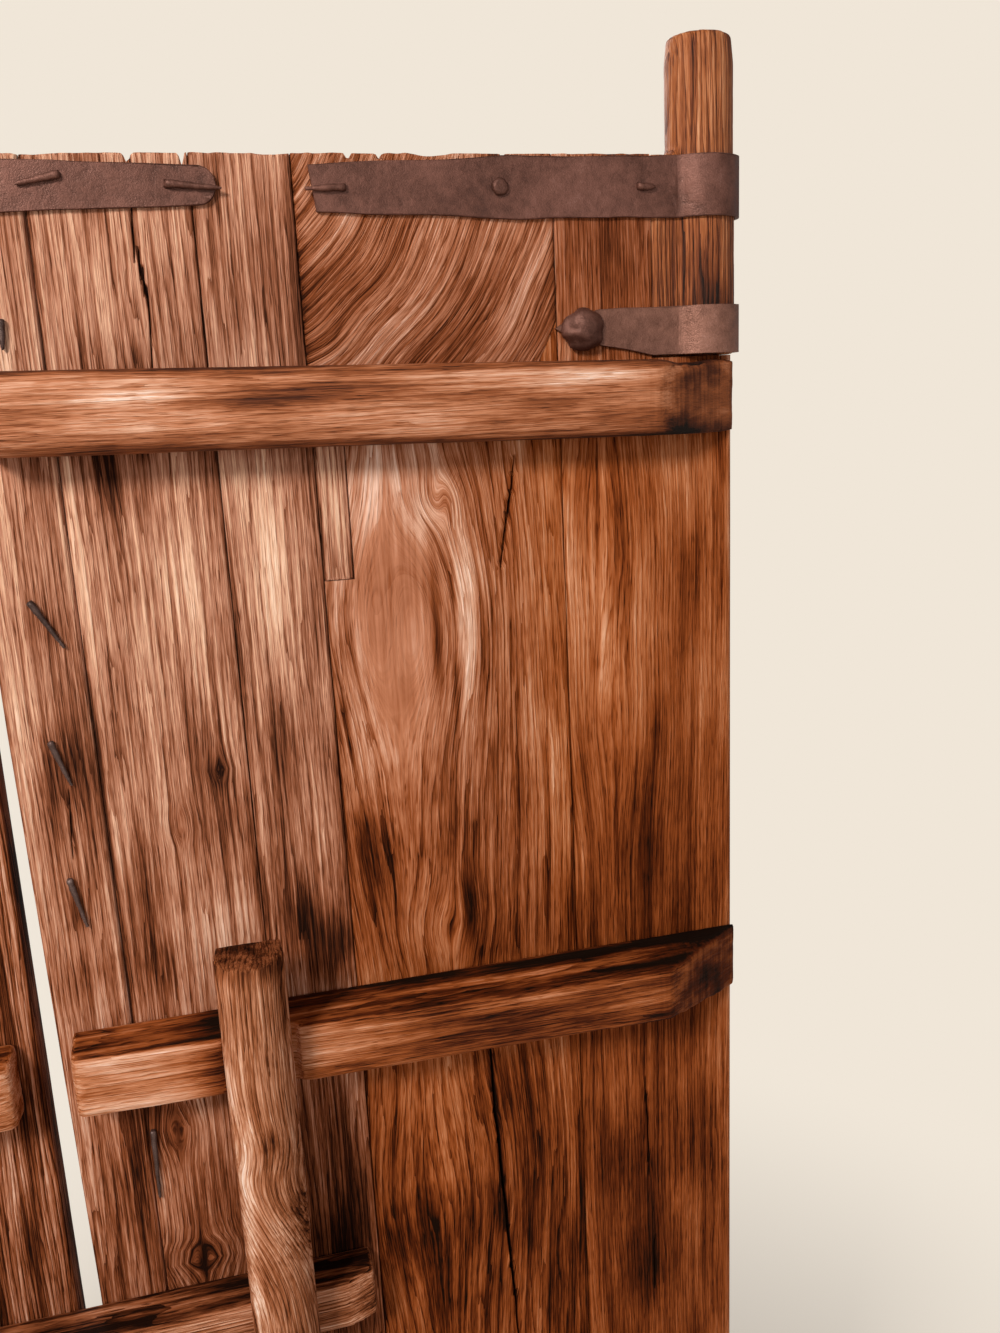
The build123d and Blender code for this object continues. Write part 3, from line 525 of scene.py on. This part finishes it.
wide_cracks = [([(0.1667, 1.662), (0.172, 1.61), (0.1834, 1.545)], 0.0010, 0.005),
               ([(0.2138, 1.150), (0.2120, 1.08), (0.2066, 0.955), (0.1986, 0.79)], 0.0016, 0.009)]
broad_cracks = [([(0.4363, 1.862), (0.441, 1.80), (0.435, 1.76), (0.4391, 1.69)], 0.0008, 0.004)]
meeting_cracks = [([(0.5343, 1.4025), (0.5385, 1.35)], 0.0007, 0.003)]
inlay_housing = [(0.8310, 1.5459, 0.8561, 1.9)]  # X and Z of one corner, and of the other


def post_notches(side):
    """The corners cut out of a stile for its two pivot posts, each as the X and Z of two corners."""
    length, overcut = 0.1541, 0.001
    x0, x1 = sorted(from_pivot(side, s) for s in (-0.024, 0.0486))
    return [(x0, LEAF_TOP - length, x1, LEAF_TOP + overcut), (x0, -overcut, x1, length)]


right_marks = {"stains_and_shadows": right_stains_and_shadows, "pales_and_shadows": right_pales_and_shadows}
weathered_board("right_pivot_stile", "right", stile_wood, step=0.0019, pitch=0.016, line=0.0062,
                relief=0.00030, seed=11, edge_round=0.008, holes=post_notches("right"),
                cracks=stile_cracks, eyes=stile_eyes, **right_marks)
weathered_board("right_wide_board", "right", figured_wood, step=0.0021, pitch=0.0080, line=0.0085,
                relief=0.00045, seed=23, holes=inlay_housing, cracks=wide_cracks, notches=head_notches,
                head=under_panel, eyes=big_eyes, calm=branch_core, **right_marks)
weathered_board("right_narrow_board", "right", plank_wood, step=0.0014, pitch=0.012, line=0.0048,
                relief=0.00045, seed=37, notches=head_notches, **right_marks)
weathered_board("right_broad_board", "right", plank_wood, step=0.0014, pitch=0.012, line=0.0046,
                relief=0.0006, seed=41, cracks=broad_cracks, notches=head_notches, eyes=broad_eyes,
                **right_marks)
weathered_board("right_meeting_board", "right", plank_wood, step=0.0014, pitch=0.012, line=0.0046,
                relief=0.0006, seed=53, edge_round=0.004, cracks=meeting_cracks, notches=head_notches,
                turned=worn_edge, **right_marks)
weathered_board("right_repair_panel", "right", panel_wood, step=0.0020, pitch=0.0020, line=0.0045,
                relief=0.00045, seed=67, notches=head_notches, foot=panel_foot, grain=panel_line,
                along=(0.6, 0.8), **right_marks)
weathered_board("right_inlay_strip", "right", plank_wood, step=0.0012, pitch=0.010, line=0.0040,
                relief=0.00045, seed=71, **right_marks)

# Boards of the left leaf
# The same five planks as in a mirror, without the repairs. Only a strip along the meeting edge shows in
# the photograph, so the rest has few marks.

left_marks = {"stains_and_shadows": [(0.55, 1.15, 0.03, 0.05, 0.6), (0.2, 0.6, 0.04, 0.1, 0.6),
                         (0.40, 0.2, 0.06, 0.05, 0.6)],
              "pales_and_shadows": [(0.50, 1.4, 0.05, 0.3, 0.5), (0.30, 1.0, 0.06, 0.3, 0.4)]}
branch_eyes = [(0.23, 1.30, 0.022, 0.016, 0.09), (0.23, 1.2, 0.018, 0.03, 0.22)]
small_knot = [(0.45, 0.8, 0.01, 0.006, 0.02)]
weathered_board("left_pivot_stile", "left", stile_wood, step=0.0026, pitch=0.020, line=0.0062,
                relief=0.00030, seed=111, edge_round=0.008, holes=post_notches("left"), **left_marks)
for node, wood, step, pitch, line, seed, eyes in (
        ("wide_board", figured_wood, 0.0030, 0.012, 0.0085, 123, branch_eyes),
        ("narrow_board", plank_wood, 0.0020, 0.016, 0.0048, 137, ()),
        ("broad_board", plank_wood, 0.0020, 0.016, 0.0046, 141, small_knot),
        ("meeting_board", brown_wood, 0.0018, 0.012, 0.0050, 153, ())):
    weathered_board("left_" + node, "left", wood, step, pitch, line, relief=0.0006, seed=seed, eyes=eyes,
                    **left_marks)

# Rails and battens
# Squared and D-shaped bars of the same old wood, driven into dovetail housings across the boards. Their
# edges are rounded by handling, dust and painted shade darken their upper faces, painted shade darkens
# the pivot ends and the upper rails' undersides, and the end of each upper rail is torn.


def merged_copy(node):
    """A copy of a CAD piece, its faces joined at their edges, to be worked on."""
    source = frame["nodes"][node]
    piece = source.copy()
    piece.data = source.data.copy()
    piece.name = "aged_" + node
    piece.data.name = piece.name
    piece.parent = None
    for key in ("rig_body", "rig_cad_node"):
        if key in piece:
            del piece[key]
    bpy.context.scene.collection.objects.link(piece)
    bpy.ops.object.select_all(action="DESELECT")
    bpy.context.view_layer.objects.active = piece
    piece.select_set(True)
    piece.hide_render = False
    piece.hide_viewport = False
    piece.data.materials.clear()
    bpy.ops.object.mode_set(mode="EDIT")
    bpy.ops.mesh.select_all(action="SELECT")
    bpy.ops.mesh.remove_doubles(threshold=0.00001)
    bpy.ops.object.mode_set(mode="OBJECT")
    return piece


def worn_copy(node, voxel):
    """A copy of a CAD piece as one fine mesh, so that wear can be cut into it."""
    piece = merged_copy(node)
    fine = piece.modifiers.new("fine", "REMESH")
    fine.mode = "VOXEL"
    fine.voxel_size = voxel
    bpy.ops.object.modifier_apply(modifier=fine.name)
    soft = piece.modifiers.new("soft", "SMOOTH")
    soft.factor = 0.5
    soft.iterations = 4
    bpy.ops.object.modifier_apply(modifier=soft.name)
    return piece


def nearness(co, centre, size):
    """1 at a centre, and less and less beyond a size along each axis."""
    return np.exp(-(((co - np.array(centre)) / np.array(size)) ** 2).sum(axis=1))


def weather(piece, along, line, relief, seed, spots=(), bites=(), dents=0.0006, waves=0.0, top_dust_and_shade=0.0,
            sweeps=()):
    """Raises the growth lines of a carved bar that runs along an axis, dents it and marks dirt, wear and
    painted shade.

    The setting after waves darkens its upper faces with dust and with painted shade, as if the light came
    from lower down. A sweep is a place along the bar where the lines slant over to one side, with half its
    length and half the way across.
    """
    co, out = points(piece), points(piece, "normal")
    order = {"x": (2, 1, 0), "z": (0, 1, 2)}[along]
    flow = co[:, order].copy()
    flow[:, 0] += waves * ripple(flow, (0.05, 0.05, 0.06), seed + 20)
    flow[:, 1] += waves * ripple(flow, (0.05, 0.05, 0.08), seed + 21)
    for at, half, over in sweeps:
        flow[:, 0] += over * np.tanh((co[:, order[2]] - at) / half)
    ridge = ridges(ripple(flow, (line * 0.6, line * 0.6, 0.22), seed),
                   ripple(flow, (line * 0.3, line * 0.3, 0.07), seed + 1))
    dent = 0.5 + 0.5 * ripple(flow, (0.03, 0.03, 0.09), seed + 2)
    chip = np.clip(ripple(co, (0.006, 0.006, 0.006), seed + 3) - 0.45, 0, 1)
    depth = relief * (1 - ridge) + dents * dent + 0.0006 * chip
    for centre, size, bite in bites:
        ragged = 1 + 0.5 * ripple(co, (0.006, 0.006, 0.006), seed + 7)
        depth += bite * nearness(co, centre, size) * ragged
    co = co - out * depth[:, None]
    wear_light_and_shade = 0.6 * ripple(flow, (0.012, 0.012, 0.10), seed + 4)
    wear_light_and_shade += 0.4 * ripple(flow, (0.004, 0.004, 0.05), seed + 5)
    dirt_and_shade = 0.7 * np.clip(ripple(flow, (0.02, 0.02, 0.07), seed + 6) - 0.1, 0, 1)
    # Upper faces darker: dust, and painted shade as if the light came from lower down.
    dirt_and_shade += top_dust_and_shade * np.clip(out[:, 2] - 0.5, 0, 1)
    calm = np.zeros(len(co))
    for centre, size, paler, darker, still in spots:
        near = nearness(co, centre, size)
        wear_light_and_shade += paler * near
        dirt_and_shade += darker * near
        calm += still * near
    piece.data.vertices.foreach_set("co", co.ravel())
    piece.data.update()
    store(piece, "grain", flow * [1, 0.5, 1] + [seed * PATTERN_STEP, 0, 0], "FLOAT_VECTOR")
    store(piece, "ridge", ridge)
    store(piece, "wear_light_and_shade", wear_light_and_shade)
    store(piece, "dirt_and_shade", dirt_and_shade)
    store(piece, "calm", np.clip(calm, 0, 1))
    bpy.ops.object.shade_smooth_by_angle(angle=math.radians(60))


rail_shades = [(0.0, (20, 8, 3)), (0.20, (78, 34, 12)), (0.42, (140, 76, 40)), (0.62, (186, 120, 84)),
               (0.84, (222, 172, 144)), (1.0, (246, 226, 214))]
rail_wood = aged_wood("rail_wood", rail_shades, base=0.52, rings=230, ridge=0.15, line=0.14, fibre=0.2,
                      gloss=0.40, shine=0.2)
batten_shades = [(0.0, (18, 6, 1)), (0.20, (78, 30, 6)), (0.42, (146, 76, 34)), (0.62, (190, 122, 84)),
                 (0.84, (224, 174, 146)), (1.0, (246, 226, 214))]
batten_wood = aged_wood("batten_wood", batten_shades, base=0.54, rings=230, ridge=0.15, line=0.15,
                        fibre=0.18, gloss=0.40, shine=0.08)


def on_leaf(side, marks):
    """Marks that start with s from the pivot axis, Y and Z, turned into marks at a place of one leaf."""
    return [((from_pivot(side, s), y, z), *mark) for s, y, z, *mark in marks]


# The first three spots make the bevelled pivot ends of the upper rail and both battens darker and calmer:
# painted shade, for ends turned away from the light. The spot at height 1.645 darkens the underside of the
# upper rail: painted shade.
bar_spots = [(0.010, -0.030, 1.670, (0.048, 0.080, 0.050), -0.95, 0.00, 1.5),
             (0.010, -0.030, 1.170, (0.046, 0.080, 0.060), -1.25, 0.00, 1.5),
             (0.010, -0.030, 0.670, (0.046, 0.080, 0.060), -1.25, 0.00, 1.5),
             (0.170, -0.050, 1.140, (0.140, 0.090, 0.060), -0.90, 0.10, 0.0),
             (0.500, -0.050, 1.160, (0.070, 0.030, 0.050), 0.60, 0.00, 0.0),
             (0.455, -0.058, 1.692, (0.045, 0.020, 0.009), 1.80, 0.00, 0.0),
             (0.100, -0.056, 1.694, (0.050, 0.020, 0.008), 1.80, 0.00, 0.0),
             (0.350, -0.045, 1.645, (0.500, 0.030, 0.008), -1.20, 0.40, 0.0),
             (0.400, -0.060, 1.680, (0.250, 0.030, 0.020), 0.35, 0.00, 0.0),
             (0.440, -0.030, 1.160, (0.020, 0.060, 0.060), -0.80, 0.70, 0.0)]
bar_bites = [(0.024, -0.040, 1.704, (0.016, 0.020, 0.006), 0.0060),
             (0.040, -0.052, 1.700, (0.010, 0.012, 0.004), 0.0035)]
for side, voxel, shift in (("right", 0.0035, 0), ("left", 0.0040, 5)):
    for node, seed, material in (("upper_rail", 201, rail_wood), ("bottom_rail", 211, rail_wood),
                                 ("upper_batten", 221, batten_wood), ("lower_batten", 231, batten_wood)):
        bar = worn_copy(side + "_" + node, voxel)
        weather(bar, "x", line=0.009, relief=0.0005, seed=seed + shift, spots=on_leaf(side, bar_spots),
                bites=on_leaf(side, bar_bites), top_dust_and_shade=1.5)
        bar.data.materials.append(material)
        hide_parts(side + "_" + node)
        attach(bar, side + "_leaf")

# Pivot posts
# Newer round posts, shaved by hand, let into the notched corners of the stiles and held by the straps.
# Their stubs turn in sockets above and below, and grime has darkened them between the straps.

post_shades = [(0.0, (30, 10, 2)), (0.25, (98, 44, 14)), (0.5, (158, 88, 44)), (0.75, (196, 132, 90)),
               (1.0, (232, 188, 152))]
post_wood = aged_wood("post_wood", post_shades, base=0.52, rings=240, ridge=0.24, line=0.26, fibre=0.2,
                      gloss=0.34, shine=0.25)
post_spots = [(0.000, -0.020, 1.755, (0.060, 0.060, 0.060), -0.95, 0.10, 0.0),
              (0.000, -0.020, 0.100, (0.060, 0.060, 0.060), -0.95, 0.10, 0.0)]
for side, shift in (("right", 0), ("left", 5)):
    for node, seed in (("top_post", 301), ("bottom_post", 311)):
        post = worn_copy(side + "_" + node, voxel=0.0029)
        weather(post, "z", line=0.007, relief=0.0004, seed=seed + shift, spots=on_leaf(side, post_spots),
                dents=0.0004)
        post.data.materials.append(post_wood)
        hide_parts(side + "_" + node)
        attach(post, side + "_leaf")

# Keepers and the sliding bolt
# Each keeper is a half-round bar notched over both battens, with a slot in its back and one edge rubbed
# pale by hands. The bolt is a plain squared bar that slides through the slots.

keeper_shades = [(0.0, (26, 10, 4)), (0.20, (84, 40, 18)), (0.42, (146, 84, 50)), (0.64, (190, 130, 98)),
                 (0.86, (224, 180, 154)), (1.0, (244, 218, 202))]
keeper_wood = aged_wood("keeper_wood", keeper_shades, base=0.50, rings=280, ridge=0.24, line=0.26,
                        fibre=0.24, gloss=0.42)
keeper_spots = [(0.4355, -0.093, 0.930, (0.006, 0.014, 0.150), 2.30, 0.00, 0.0),
                (0.413, -0.060, 1.270, (0.040, 0.060, 0.012), -0.90, 0.30, 0.5),
                (0.413, -0.080, 1.180, (0.030, 0.030, 0.080), 0.40, 0.00, 0.0),
                (0.413, -0.080, 0.900, (0.030, 0.030, 0.120), -0.40, 0.10, 0.0)]
keeper_bites = [(0.439, -0.098, 1.270, (0.009, 0.012, 0.008), 0.0050),
                (0.388, -0.098, 0.564, (0.010, 0.012, 0.008), 0.0040)]
keeper_sweeps = [(1.095, 0.014, -0.0050), (1.030, 0.045, 0.0230)]
for side, seed in (("right", 401), ("left", 406)):
    keeper = worn_copy(side + "_keeper", voxel=0.0030)
    weather(keeper, "z", line=0.006, relief=0.0004, seed=seed, spots=on_leaf(side, keeper_spots),
            bites=on_leaf(side, keeper_bites), waves=0.006, sweeps=keeper_sweeps)
    keeper.data.materials.append(keeper_wood)
    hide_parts(side + "_keeper")
    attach(keeper, side + "_leaf")
bolt = worn_copy("sliding_bolt", voxel=0.0030)
weather(bolt, "x", line=0.007, relief=0.0004, seed=421, top_dust_and_shade=1.5)
bolt.data.materials.append(keeper_wood)
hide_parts("sliding_bolt")
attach(bolt, "bolt")

# Dowels and pegs
# Split and shaved pins. The dowels lie hidden in the board joints. The pegs go through boards and battens
# into the keepers, and only their ends show, flush with the outer face.

pin_wood = bpy.data.materials.new("pin_wood")
pin_wood.use_nodes = True
tree = pin_wood.node_tree
place = add(tree, "TexCoord").outputs["Object"]
rings = noise(tree, place, (420, 420, 420), 4, 0.6)
mix = add(tree, "Mix", {0: rings, 6: tint(96, 54, 28), 7: tint(178, 122, 80)}, data_type="RGBA")
tree.links.new(mix.outputs[2], tree.nodes["Principled BSDF"].inputs["Base Color"])
tree.nodes["Principled BSDF"].inputs["Roughness"].default_value = 0.6
for side in ("right", "left"):
    for node in ("board_dowels", "keeper_pegs"):
        pins = frame["nodes"][side + "_" + node]
        pins.data.materials.clear()
        pins.data.materials.append(pin_wood)

# Iron straps
# Hand-forged strips with a dull brown skin, bent hot round the pivot posts and round the meeting edges and
# nailed through the boards. The short pointed ones on the posts are painted paler, as a painted sheen.


def forged_iron(name, cards, rough=0.5):
    """Wrought iron with a brown skin; cards run from the pits to rubbed metal."""
    material = bpy.data.materials.new(name)
    material.use_nodes = True
    tree = material.node_tree
    shader = tree.nodes["Principled BSDF"]
    place = add(tree, "TexCoord").outputs["Object"]
    clouds = noise(tree, place, (14, 14, 14), 4, 0.55, low=0.25, high=0.75)
    scale = noise(tree, place, (120, 120, 120), 5, 0.62, low=0.25, high=0.75)
    pits = noise(tree, place, (900, 900, 900), 2, 0.6)
    tone = sums(tree, "MULTIPLY_ADD", clouds, 0.42, 0.16)
    tone = sums(tree, "MULTIPLY_ADD", scale, 0.34, sums(tree, "ADD", tone, -0.17))
    tone = sums(tree, "MULTIPLY_ADD", pits, 0.14, tone, clamp=True)
    tree.links.new(shade(tree, tone, cards), shader.inputs["Base Color"])
    dull = add(tree, "MapRange", {"Value": scale, "To Min": rough - 0.12, "To Max": rough + 0.18}).outputs[0]
    tree.links.new(dull, shader.inputs["Roughness"])
    height = sums(tree, "MULTIPLY_ADD", pits, 0.25, scale)
    bump = add(tree, "Bump", {"Height": height, "Distance": 0.0006, "Strength": 0.7})
    tree.links.new(bump.outputs["Normal"], shader.inputs["Normal"])
    shader.inputs["Metallic"].default_value = 0.55
    return material


strap_iron = forged_iron("strap_iron", [(0.0, (48, 26, 20)), (0.30, (86, 52, 41)), (0.6, (118, 77, 65)),
                                        (0.85, (142, 102, 92)), (1.0, (160, 132, 130))])
# A paler copy of the strap iron for the short straps on the posts: painted sheen.
sheen_iron = forged_iron("sheen_iron", [(0.0, (64, 38, 30)), (0.30, (106, 68, 54)), (0.6, (142, 98, 82)),
                                      (0.85, (166, 124, 110)), (1.0, (178, 148, 142))])


def hammered_copy(node, step):
    """A copy of a CAD strap cut into small faces, its edges rounded, its outside uneven from the hammer."""
    strap = merged_copy(node)
    low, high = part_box(node)
    bpy.ops.object.mode_set(mode="EDIT")
    for axis in (0, 2):
        for place in np.arange(low[axis] + step, high[axis] - step / 2, step):
            across = [float(place) if a == axis else 0.0 for a in range(3)]
            bpy.ops.mesh.select_all(action="SELECT")
            bpy.ops.mesh.bisect(plane_co=across, plane_no=[float(a == axis) for a in range(3)])
    bpy.ops.mesh.select_all(action="SELECT")
    bpy.ops.mesh.dissolve_degenerate(threshold=0.00002)
    bpy.ops.object.mode_set(mode="OBJECT")
    rounded = strap.modifiers.new("rounded", "BEVEL")
    rounded.width = 0.0007
    rounded.segments = 2
    rounded.limit_method = "ANGLE"
    rounded.angle_limit = math.radians(40)
    bpy.ops.object.modifier_apply(modifier=rounded.name)
    co, out = points(strap), points(strap, "normal")
    middle = (low.z + high.z) / 2
    outward = 0.00035 * (ripple(co, (0.022, 0.022, 0.022), 611) - 1)
    outward += 0.0001 * (ripple(co, (0.007, 0.007, 0.007), 612) - 1)
    on_boards, fade_in = 0.0185, 0.001
    away = np.clip((abs(co[:, 1]) - on_boards) / fade_in, 0, 1)[:, None]
    co += out * outward[:, None] * away
    co[:, 2] += (co[:, 2] - middle) * 0.05 * ripple(co, (0.05, 9, 9), 613)
    co[:, 2] += 0.0006 * ripple(co, (0.02, 9, 9), 614)
    strap.data.vertices.foreach_set("co", co.ravel())
    bpy.ops.object.shade_smooth_by_angle(angle=math.radians(40))
    return strap


for side in ("right", "left"):
    for end in ("top", "bottom"):
        for kind in ("pivot_strap", "post_strap", "meeting_strap"):
            node = f"{side}_{end}_{kind}"
            strap = hammered_copy(node, step=0.006)
            strap.data.materials.append(sheen_iron if kind == "post_strap" else strap_iron)
            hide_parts(node)
            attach(strap, side + "_leaf")

# Forged nails
# Square nails, forged by hand, driven from the outer face and bent over on the inner one. The boss nail
# holds the pointed strap, with a big lumpy head on the inner face.

nail_iron = forged_iron("nail_iron", [(0.0, (26, 18, 16)), (0.3, (60, 42, 36)), (0.6, (96, 74, 68)),
                                      (1.0, (160, 140, 134))], rough=0.42)
on_boards, fade_in, swelling = -0.0172, 0.002, 0.0007
for side in ("right", "left"):
    for node, iron, lump, patch in (("strap_nails", strap_iron, 0.0004, 0.004),
                                    ("edge_nails", nail_iron, 0.0004, 0.004),
                                    ("boss_nails", strap_iron, 0.0022, 0.008)):
        nails = worn_copy(side + "_" + node, voxel=0.0012)
        co, out = points(nails), points(nails, "normal")
        inner_half = np.clip((on_boards - co[:, 1]) / fade_in, 0, 1)
        swollen = inner_half * (swelling + lump * ripple(co, (patch, patch, patch), 501))
        nails.data.vertices.foreach_set("co", (co + out * swollen[:, None]).ravel())
        bpy.ops.object.shade_smooth_by_angle(angle=math.radians(60))
        nails.data.materials.append(iron)
        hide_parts(side + "_" + node)
        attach(nails, side + "_leaf")

# Floor, light and camera
# A plain pale floor under the pivots' tips, which fades into the backdrop, soft light from the upper left,
# and the eye of someone standing before the right leaf.

floor_level = -0.0605
backdrop_colour = tint(240, 230, 216)
bpy.ops.mesh.primitive_plane_add(size=12, location=(0.58, 0, floor_level))
floor = bpy.context.object
floor.name = "floor"
floor_paint = bpy.data.materials.new("floor_paint")
floor_paint.use_nodes = True
tree = floor_paint.node_tree
paint = tree.nodes["Principled BSDF"]
paint.inputs["Base Color"].default_value = tint(236, 228, 216)
paint.inputs["Roughness"].default_value = 0.85
place = add(tree, "TexCoord").outputs["Object"]
away = add(tree, "VectorMath", {0: place}, operation="LENGTH").outputs["Value"]
fade = {"Value": away, "From Min": 0.7, "From Max": 2.1}
far = add(tree, "MapRange", fade, interpolation_type="SMOOTHSTEP").outputs[0]
seen = sums(tree, "MULTIPLY", far, add(tree, "LightPath").outputs["Is Camera Ray"])
backdrop = add(tree, "Emission", {"Color": backdrop_colour, "Strength": 1.0})
blend = add(tree, "MixShader", {0: seen, 1: paint.outputs[0], 2: backdrop.outputs[0]})
tree.links.new(blend.outputs[0], tree.nodes["Material Output"].inputs["Surface"])
floor.data.materials.append(floor_paint)

world = bpy.data.worlds.new("studio")
bpy.context.scene.world = world
world.use_nodes = True
tree = world.node_tree
ray = add(tree, "LightPath")
seen = add(tree, "Background", {"Color": backdrop_colour, "Strength": 1.0})
lit = add(tree, "Background", {"Color": (1.0, 0.97, 0.94, 1.0), "Strength": 0.32})
shown = sums(tree, "MAXIMUM", ray.outputs["Is Camera Ray"], ray.outputs["Is Transmission Ray"])
pick = add(tree, "MixShader", {0: shown, 1: lit.outputs[0], 2: seen.outputs[0]})
tree.links.new(pick.outputs[0], tree.nodes["World Output"].inputs["Surface"])


def lamp(name, place, aim, size, power, colour=(1, 1, 1)):
    """A square soft lamp at a place, turned towards its aim."""
    bpy.ops.object.light_add(type="AREA", location=place)
    made = bpy.context.object
    made.name = name
    made.data.size = size
    made.data.energy = power
    made.data.color = colour
    towards = [a - p for a, p in zip(aim, place)]
    made.rotation_euler = Vector(towards).to_track_quat("-Z", "Y").to_euler()


lamp("key", (-0.75, -1.9, 3.0), (0.75, 0, 1.35), size=0.6, power=86, colour=(1.0, 0.96, 0.90))
lamp("fill", (1.4, -3.4, 1.9), (0.6, 0, 1.0), size=2.0, power=18, colour=(1.0, 0.97, 0.95))
lamp("back", (0.6, 3.0, 2.6), (0.6, 0, 1.0), size=2.0, power=45)

camera_data = bpy.data.cameras.new("camera")
camera = bpy.data.objects.new("camera", camera_data)
bpy.context.scene.collection.objects.link(camera)
bpy.context.scene.camera = camera
right = (0.96764, -0.24818, -0.04542)
up = (0.10049, 0.21374, 0.97172)
forward = (0.23143, 0.94483, -0.23175)
turn = Matrix([right, up, [-v for v in forward]]).transposed().to_4x4()
camera.matrix_world = Matrix.Translation((0.750, -0.917, 1.684)) @ turn
camera_data.sensor_fit = "VERTICAL"
camera_data.sensor_height = 36
camera_data.lens = 31.0
camera_data.clip_start = 0.02
